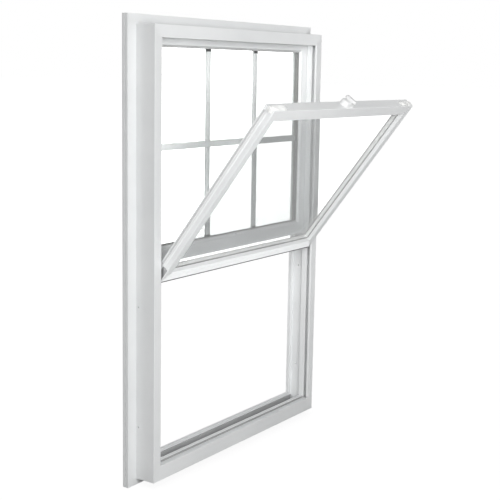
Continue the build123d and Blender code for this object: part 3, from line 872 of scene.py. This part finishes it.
# %% Strip of painted shade above the sill's trough
TROUGH_BACK = 0.0105
SHADE_STRIP_HALF, SHADE_STRIP_LOW, SHADE_STRIP_HIGH = 0.427, 0.0315, 0.0525
SHADE_STRIP_THICK, SHADE_STRIP_RIM, SHADE_STRIP_RISE, SHADE_STRIP_ROUND = 0.003, 0.004, 0.0015, 0.0012

# This strip is painted shade: its grey stands for the shade deep in the trough behind the ledge.
shade_strip = new_block("sill_painted_shade_strip", (-SHADE_STRIP_HALF, TROUGH_BACK - SHADE_STRIP_THICK, SHADE_STRIP_LOW),
                 (SHADE_STRIP_HALF, TROUGH_BACK, SHADE_STRIP_HIGH))
edit(shade_strip)
raised(shade_strip, -1, SHADE_STRIP_RIM, SHADE_STRIP_RISE)
edit_done()
applied(shade_strip, "BEVEL", width=SHADE_STRIP_ROUND, segments=3)
ready(shade_strip, painted_shade_rubber, "frame")

# %% [markdown]
# ## Cam lock
# The lock on the check rail has a smooth oval cover and a lever with a round boss over its axle.
# They could be sculpted, but castings like these are plain shapes with soft edges. So the cover
# starts as a cylinder whose two halves are pulled apart, the lever as a cylinder whose front is
# drawn out and narrowed, and wide bevels round them. Boolean cuts make room inside the cover, where
# the hub and the tongue turn.

# %% Cover of the lock
LOCK_HALF = 0.032
LOCK_RADIUS = 0.015
LOCK_TOP = 0.016
LOCK_GAP = 0.0003
LOCK_Y = SASH_BACK - LOCK_GAP - LOCK_RADIUS
COVER_SIDES = 64
COVER_TAPER = (0.93, 0.86, 1)
COVER_ROUND = 0.005
RIM_MARGIN = 0.001


def new_cylinder(name, sides, radius, depth, centre, turn=(0, 0, 0)):
    """A cylinder of some sides on a centre, with its place in its mesh."""
    bpy.ops.object.select_all(action="DESELECT")
    bpy.ops.mesh.primitive_cylinder_add(vertices=sides, radius=radius, depth=depth,
                                        location=centre, rotation=turn)
    piece = bpy.context.object
    piece.name = name
    place_applied()
    return piece


def moved(piece, wanted, move):
    """In edit mode, moves the points whose place is wanted."""
    pick(piece, "verts", lambda vert: wanted(vert.co))
    bpy.ops.transform.translate(value=move)


def rounded(piece, wanted, radius, segments):
    """In edit mode, rounds the edges whose two ends are both at places that are wanted."""
    bpy.ops.mesh.select_mode(type="EDGE")
    pick(piece, "edges", lambda edge: all(wanted(vert.co) for vert in edge.verts))
    bpy.ops.mesh.bevel(offset=radius, segments=segments)


cover_rim = SASH_HIGH + LOCK_TOP - RIM_MARGIN
cover = new_cylinder("lock_cover", COVER_SIDES, LOCK_RADIUS, LOCK_TOP,
                     (0, LOCK_Y, SASH_HIGH + LOCK_TOP / 2), (0, 0, math.pi / COVER_SIDES))
edit(cover, "VERT")
for side in (-1, 1):
    moved(cover, lambda place: place.x * side > 0, (side * (LOCK_HALF - LOCK_RADIUS), 0, 0))
pick(cover, "verts", lambda vert: vert.co.z > cover_rim)
bpy.ops.transform.resize(value=COVER_TAPER, center_override=(0, LOCK_Y, 0))
rounded(cover, lambda place: place.z > cover_rim, COVER_ROUND, segments=6)
edit_done()
print("cover of the lock:", len(cover.data.polygons), "faces before it is hollowed")

# %% Room for the tongue and the hub inside the cover
LOCK_AXIS_Y = SASH_FACE + 0.027
ROOM_SIDES = 64
ROOM_LOW = 0.002
TONGUE_ROOM, TONGUE_ROOM_HIGH = 0.0186, 0.008
HUB_ROOM, HUB_ROOM_HIGH = 0.0054, 0.02


def cut(piece, cutter):
    """Cuts one piece out of another and removes it."""
    applied(piece, "BOOLEAN", object=cutter, operation="DIFFERENCE")
    bpy.data.objects.remove(cutter)


for radius, high in ((TONGUE_ROOM, TONGUE_ROOM_HIGH), (HUB_ROOM, HUB_ROOM_HIGH)):
    cut(cover, new_cylinder("cutter", ROOM_SIDES, radius, high - ROOM_LOW,
                            (0, LOCK_AXIS_Y, SASH_HIGH + (ROOM_LOW + high) / 2)))
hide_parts("sash_lock_base")
ready(leaned(cover), white_paint, "lower_sash")

# %% Lever of the lock
LEVER_SIDES = 48
LEVER_RADIUS = 0.0085
LEVER_THICK = 0.006
LEVER_REACH = 0.0304
LEVER_LOW = SASH_HIGH + LOCK_TOP + LOCK_GAP
LEVER_HIGH = LEVER_LOW + LEVER_THICK
LEVER_TAPER = (0.72, 1, 1)
LEVER_ROUND = 0.0022
TIP_START, TIP_RISE = 0.015, 0.002

lever = new_cylinder("lock_lever_arm", LEVER_SIDES, LEVER_RADIUS, LEVER_THICK,
                     (0, LOCK_AXIS_Y, LEVER_LOW + LEVER_THICK / 2), (0, 0, math.pi / LEVER_SIDES))
edit(lever, "VERT")
moved(lever, lambda place: place.y < LOCK_AXIS_Y, (0, -(LEVER_REACH - LEVER_RADIUS), 0))
bpy.ops.transform.resize(value=LEVER_TAPER, center_override=(0, LOCK_AXIS_Y, 0))
moved(lever, lambda place: place.y < LOCK_AXIS_Y - TIP_START and place.z > LEVER_LOW + RIM_MARGIN,
      (0, 0, TIP_RISE))
rounded(lever, lambda place: place.z > LEVER_HIGH - RIM_MARGIN / 2, LEVER_ROUND, segments=5)
edit_done()
print("lever:", len(lever.data.polygons), "faces")

# %% Boss, hub and tongue of the lever
BOSS_RADIUS, BOSS_THICK, BOSS_RISE, BOSS_ROUND = 0.0055, 0.0022, 0.001, 0.001
HUB_SIDES = 32
HUB_RADIUS, HUB_LENGTH, HUB_ROUND = 0.0048, 0.0135, 0.0006
HUB_LOW = SASH_HIGH + 0.003
TONGUE_HALF, TONGUE_HIGH = 0.004, SASH_HIGH + 0.0065
TONGUE_TIP, TONGUE_ROOT = -0.0175, 0.002
TONGUE_ROUND = 0.0015

boss = new_cylinder("boss", LEVER_SIDES, BOSS_RADIUS, BOSS_THICK,
                    (0, LOCK_AXIS_Y, LEVER_HIGH + BOSS_RISE))
edit(boss)
rounded(boss, lambda place: place.z > LEVER_HIGH + BOSS_RISE, BOSS_ROUND, segments=4)
edit_done()
hub = new_cylinder("hub", HUB_SIDES, HUB_RADIUS, HUB_LENGTH,
                   (0, LOCK_AXIS_Y, HUB_LOW + HUB_LENGTH / 2))
edit(hub)
rounded(hub, lambda place: place.z < HUB_LOW + RIM_MARGIN, HUB_ROUND, segments=3)
edit_done()
tongue = new_block("tongue", (TONGUE_TIP, LOCK_AXIS_Y - TONGUE_HALF, HUB_LOW),
                   (TONGUE_ROOT, LOCK_AXIS_Y + TONGUE_HALF, TONGUE_HIGH))
applied(tongue, "BEVEL", width=TONGUE_ROUND, segments=3)
lever = joined("lock_lever_arm", [lever, boss, hub, tongue])
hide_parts("sash_lock_lever")
ready(leaned(lever), white_paint, "lock_lever")

# %% [markdown]
# ## Screws
# Two small screws hold each pivot plate in the sash's foot. One is modelled: a disc with a domed
# rim and a crossed slot, cut with two thin boxes and a Boolean modifier. A bump could draw the
# slot, but it wouldn't be in the exported mesh. The others are copies.

# %% Screws in the pivot plates
SCREW_SIDES = 32
SCREW_RADIUS, SCREW_THICK, SCREW_DOME = 0.0036, 0.0012, 0.0006
SCREW_PROUD = 0.0004
SCREW_HEIGHTS = (0.020, 0.036)
SLOT_WIDTH, SLOT_LENGTH = 0.0007, 0.0042
SLOT_OUT, SLOT_FLOOR = -0.002, -0.0001

screw = new_cylinder("screw", SCREW_SIDES, SCREW_RADIUS, SCREW_THICK,
                     (0, 0, 0), (0, math.pi / 2, 0))
edit(screw)
pick(screw, "faces", lambda face: face.normal.x < -FACING)
bpy.ops.mesh.bevel(offset=SCREW_DOME, segments=3, affect="EDGES")
edit_done()
for width, height in ((SLOT_WIDTH, SLOT_LENGTH), (SLOT_LENGTH, SLOT_WIDTH)):
    cut(screw, new_block("cutter", (SLOT_OUT, -width / 2, -height / 2),
                         (SLOT_FLOOR, width / 2, height / 2)))

screws = []
for side, turn in ((-1, 0), (1, math.pi)):
    for height in SCREW_HEIGHTS:
        place = (side * (SASH_HALF + SCREW_PROUD), PIVOT.y, SASH_LOW + height)
        screws.append(copied(screw, "plate_screw", place, (0, 0, turn)))
bpy.data.objects.remove(screw)
plate_screws = joined("pivot_plate_screws", screws)
ready(leaned(plate_screws), bright_steel, "lower_sash")
